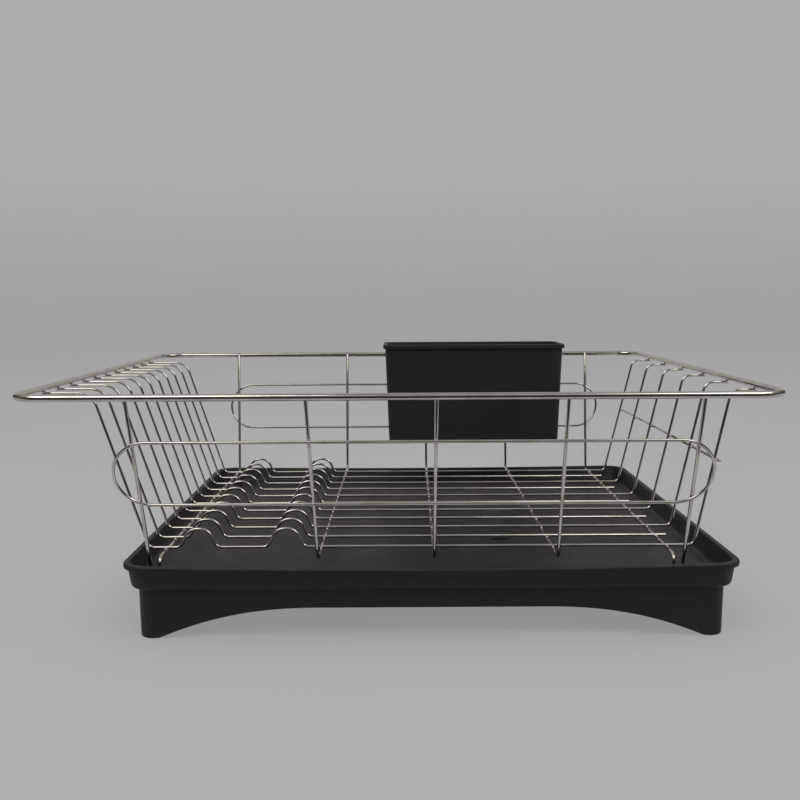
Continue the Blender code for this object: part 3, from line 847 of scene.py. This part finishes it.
def holder_rings():
    """Rings up the outside, over the lip and down the inside, with their edges rounded."""
    sections = [*HOLDER_OUTSIDE, *HOLDER_INSIDE]
    corners = [((width, centre_y, z), edge) for width, _, centre_y, z, edge in sections]
    depth_less = [width - depth for width, depth, _, _, _ in sections]
    radii = [HOLDER_CORNER] * len(HOLDER_OUTSIDE) + [HOLDER_INNER_CORNER] * len(HOLDER_INSIDE)
    rings = []
    last = len(corners) - 1
    for index, (corner, edge) in enumerate(corners):
        if index in (0, last):
            points = [Vector(corner)]
        else:
            points = rounded_path(corners[index - 1 : index + 2], EDGE_STEP)[1:-1]
        for width, centre_y, z in points:
            outline = rounded_rectangle(width, width - depth_less[index], radii[index])
            rings.append(
                [Vector((HOLDER_X + place.x, centre_y + place.y, z)) for place in outline]
            )
    return rings


def prism(name, outline, width, x):
    """A bar along X whose (y, z) outline has rounded corners."""
    rings = [[Vector((x + side * width / 2, y, z)) for _, y, z in outline] for side in (-1, 1)]
    return loft(name, rings)


def hook_outline():
    rest_z = RIM_Z + RIM_WIRE / 2 + HOOK_REST
    behind_y = RIM_DEPTH / 2 + HOOK_SLACK
    top_z = rest_z + HOOK_THICKNESS
    back_y = behind_y + HOOK_THICKNESS
    corners = [
        ((0.0, HOOK_ROOT_Y, rest_z), 0.0),
        ((0.0, behind_y, rest_z), 0.0007),
        ((0.0, behind_y, HOOK_TIP_Z), 0.0004),
        ((0.0, back_y, HOOK_TIP_Z), 0.0004),
        ((0.0, back_y, top_z), 0.0015),
        ((0.0, HOOK_ROOT_Y, top_z), 0.0),
    ]
    return rounded_path(corners, EDGE_STEP, closed=True)


def slot_cutter():
    body = bmesh.new()
    for index in range(SLOT_COUNT):
        slot = bmesh.ops.create_cube(body, size=1.0)["verts"]
        bmesh.ops.scale(body, verts=slot, vec=SLOT_SIZE)
        x = HOLDER_X + (index - (SLOT_COUNT - 1) / 2) * SLOT_PITCH
        place = (x, HOLDER_OUTSIDE[0][2], HOLDER_OUTSIDE[0][3])
        bmesh.ops.translate(body, verts=slot, vec=place)
    return piece_from_bmesh("slot_cutter", body)


def apply_booleans(target, operands):
    """Joins or cuts target with each (operand, operation), and removes the operands."""
    scene = bpy.context.scene.collection.objects
    scene.link(target)
    for operand, operation in operands:
        scene.link(operand)
        modifier = target.modifiers.new(operand.name, "BOOLEAN")
        modifier.operation = operation
        modifier.solver = "EXACT"
        modifier.object = operand
    graph = bpy.context.evaluated_depsgraph_get()
    mesh = bpy.data.meshes.new_from_object(target.evaluated_get(graph))
    target.modifiers.clear()
    target.data = mesh
    scene.unlink(target)
    for operand, _ in operands:
        bpy.data.objects.remove(operand)


def make_holder():
    holder = loft("visual_utensil_holder", holder_rings())
    operands = [
        (prism(f"hook_{index}", hook_outline(), HOOK_WIDTH, HOLDER_X + offset), "UNION")
        for index, offset in enumerate(HOOK_OFFSETS)
    ]
    operands.append((slot_cutter(), "DIFFERENCE"))
    apply_booleans(holder, operands)
    smooth_with_flats(holder)
    finish_piece(holder, "utensil_holder", "holder", HOLDER_PLASTIC)


# ------------------------------------------------------------------ stage and light

STAGE_TONE = 0.16
STAGE_ROUGHNESS = 0.95
STAGE_SPECULAR = 0.05
STAGE_GLOW = 1.70  # at the floor
STAGE_WALL_GLOW = 2.12  # at STAGE_GLOW_TOP and higher
STAGE_GLOW_TOP = 1.1
STAGE_MIDDLE_RADIUS = 1.0
STAGE_FLOOR_RADIUS = 3.4
STAGE_WALL_RADIUS = 6.5
STAGE_BEND = 2.2
STAGE_BEND_STEP = math.radians(5)
STAGE_TOP = 6.0
STAGE_SIDES = 96
FLOOR_DROP = 0.0002

AMBIENT = 0.48
AMBIENT_TINT = (0.97, 0.985, 1.0)
# What glossy surfaces see of the room: brightness at the sine of each elevation
MIRRORED_ROOM = ((0.00, 0.05), (0.22, 0.07), (0.48, 0.22), (0.72, 0.50), (0.92, 0.42), (1.00, 0.24))
MIRRORED_TINT = (1.0, 0.97, 0.925)

LAMP_AIM = (0.0, 0.0, 0.08)
WHITE = (1.0, 1.0, 1.0)
WARM = (1.0, 0.97, 0.92)
# Each lamp's place, width and depth, watts, colour and whether it shows in reflections
LAMPS = {
    "top_softbox": ((0.0, -0.4, 2.6), (3.2, 2.4), 19.0, WHITE, False),
    "left_softbox": ((-1.05, -1.1, 1.8), (1.6, 1.1), 14.0, WARM, True),
    "right_softbox": ((1.42, -1.1, 1.8), (1.5, 1.1), 13.0, WARM, True),
}
UPRIGHT = (math.pi / 2, 0.0, 0.0)
FLAT = (0.0, 0.0, 0.0)
CARD_TONES = ((0.0, (0.006, 0.006, 0.006)), (1.0, (0.012, 0.012, 0.012)))
# Each card's place, two sides, turn and glow
CARDS = {
    "card_front": ((0.0, -2.6, 0.35), (6.0, 0.9), UPRIGHT, 0.0),
    "card_floor": ((0.0, -1.58, 0.001), (6.0, 2.4), FLAT, 0.0),
    "card_back": ((0.0, 3.0, 0.85), (6.0, 1.7), UPRIGHT, 0.40),
}


def make_stage_ring(name, profile, filled):
    """A surface of revolution about the Z axis through (radius, z) points."""
    body = bmesh.new()
    rings = []
    for radius, z in profile:
        angles = [2 * math.pi * side / STAGE_SIDES for side in range(STAGE_SIDES)]
        rings.append(
            [body.verts.new((radius * math.cos(a), radius * math.sin(a), z)) for a in angles]
        )
    for inner, outer in zip(rings, rings[1:]):
        for i in range(STAGE_SIDES):
            j = (i + 1) % STAGE_SIDES
            body.faces.new((inner[i], outer[i], outer[j], inner[j]))
    if filled:
        body.faces.new(rings[0])
    stage = piece_from_bmesh(name, body)
    stage.data.shade_smooth()
    stage.data.materials.append(stage_material())
    bpy.context.scene.collection.objects.link(stage)
    return stage


def make_stage():
    """A round paper floor, and a wall curving up from it that only the camera sees."""
    floor_z = -FLOOR_DROP
    floor_profile = [(STAGE_MIDDLE_RADIUS, floor_z), (STAGE_FLOOR_RADIUS, floor_z)]
    make_stage_ring("stage_floor", floor_profile, filled=True)
    corners = [
        ((STAGE_FLOOR_RADIUS, 0.0, floor_z), 0.0),
        ((STAGE_WALL_RADIUS, 0.0, floor_z), STAGE_BEND),
        ((STAGE_WALL_RADIUS, 0.0, STAGE_TOP), 0.0),
    ]
    profile = [(point.x, point.z) for point in rounded_path(corners, STAGE_BEND_STEP)]
    wall = make_stage_ring("stage_wall", profile, filled=False)
    wall.visible_diffuse = False
    wall.visible_glossy = False
    wall.visible_shadow = False


def make_lamp(name, place, size, power, colour, mirrored):
    light = bpy.data.lights.new(name, "AREA")
    light.shape = "RECTANGLE"
    light.size, light.size_y = size
    light.energy = power
    light.color = colour
    lamp = bpy.data.objects.new(name, light)
    lamp.location = place
    way = Vector(LAMP_AIM) - Vector(place)
    lamp.rotation_euler = way.to_track_quat("-Z", "Y").to_euler()
    lamp.visible_glossy = mirrored
    bpy.context.scene.collection.objects.link(lamp)


def make_card(name, place, size, turn, glow):
    """A card that shows only in reflections: black, or glowing, for the chrome's bands."""
    body = bmesh.new()
    bmesh.ops.create_grid(body, x_segments=1, y_segments=1, size=0.5)
    card = piece_from_bmesh(name, body)
    card.scale = (*size, 1.0)
    card.rotation_euler = turn
    card.location = place
    graph = Graph(name)
    tone = graph.ramp(graph.noise(4.0), *CARD_TONES)
    graph.link(tone, graph.shader.inputs["Base Color"])
    graph.shader.inputs["Emission Color"].default_value = (*MIRRORED_TINT, 1.0)
    graph.shader.inputs["Emission Strength"].default_value = glow
    card.data.materials.append(graph.material)
    card.visible_camera = False
    card.visible_diffuse = False
    card.visible_shadow = False
    bpy.context.scene.collection.objects.link(card)


def make_world():
    """Even light from all round, of which reflections see a room that is dark at eye level."""
    world = bpy.data.worlds.new("studio")
    bpy.context.scene.world = world
    world.use_nodes = True
    tree = world.node_tree
    output = tree.nodes["World Output"]
    even = tree.nodes["Background"]
    even.inputs["Color"].default_value = (*AMBIENT_TINT, 1.0)
    even.inputs["Strength"].default_value = AMBIENT
    room = tree.nodes.new("ShaderNodeBackground")
    way = tree.nodes.new("ShaderNodeTexCoord")
    split = tree.nodes.new("ShaderNodeSeparateXYZ")
    tree.links.new(way.outputs["Generated"], split.inputs["Vector"])
    ramp = tree.nodes.new("ShaderNodeValToRGB")
    tree.links.new(split.outputs["Z"], ramp.inputs["Fac"])
    elements = ramp.color_ramp.elements
    while len(elements) < len(MIRRORED_ROOM):
        elements.new(0.5)
    for element, (height, brightness) in zip(elements, MIRRORED_ROOM):
        element.position = height
        element.color = (*(channel * brightness for channel in MIRRORED_TINT), 1.0)
    tree.links.new(ramp.outputs["Color"], room.inputs["Color"])
    path = tree.nodes.new("ShaderNodeLightPath")
    mix = tree.nodes.new("ShaderNodeMixShader")
    tree.links.new(path.outputs["Is Glossy Ray"], mix.inputs["Fac"])
    tree.links.new(even.outputs["Background"], mix.inputs[1])
    tree.links.new(room.outputs["Background"], mix.inputs[2])
    tree.links.new(mix.outputs["Shader"], output.inputs["Surface"])


def make_light():
    make_world()
    for name, settings in LAMPS.items():
        make_lamp(name, *settings)
    for name, settings in CARDS.items():
        make_card(name, *settings)
    bpy.context.scene.view_settings.view_transform = "Standard"


# ------------------------------------------------------------------ build

CHROME = chrome_material()
TRAY_PLASTIC = plastic_material(
    "tray_black_plastic",
    dark=(0.0064, 0.0062, 0.0074),
    light=(0.0094, 0.0092, 0.0106),
    # The pale colour of faces that look up: dust plus painted top light that lightens the tray's
    # floor against its walls
    dust_and_top_light=(0.044, 0.047, 0.039),
    roughness=0.48,
    grain_scale=1500.0,
)
HOLDER_PLASTIC = plastic_material(
    "holder_black_plastic",
    dark=(0.0128, 0.0132, 0.0160),
    light=(0.0178, 0.0182, 0.0215),
    # The pale colour of faces that look up: dust plus painted top light
    dust_and_top_light=(0.032, 0.032, 0.034),
    roughness=0.50,
    grain_scale=1700.0,
)
make_camera()
make_basket()
make_tray()
make_holder()
make_stage()
make_light()
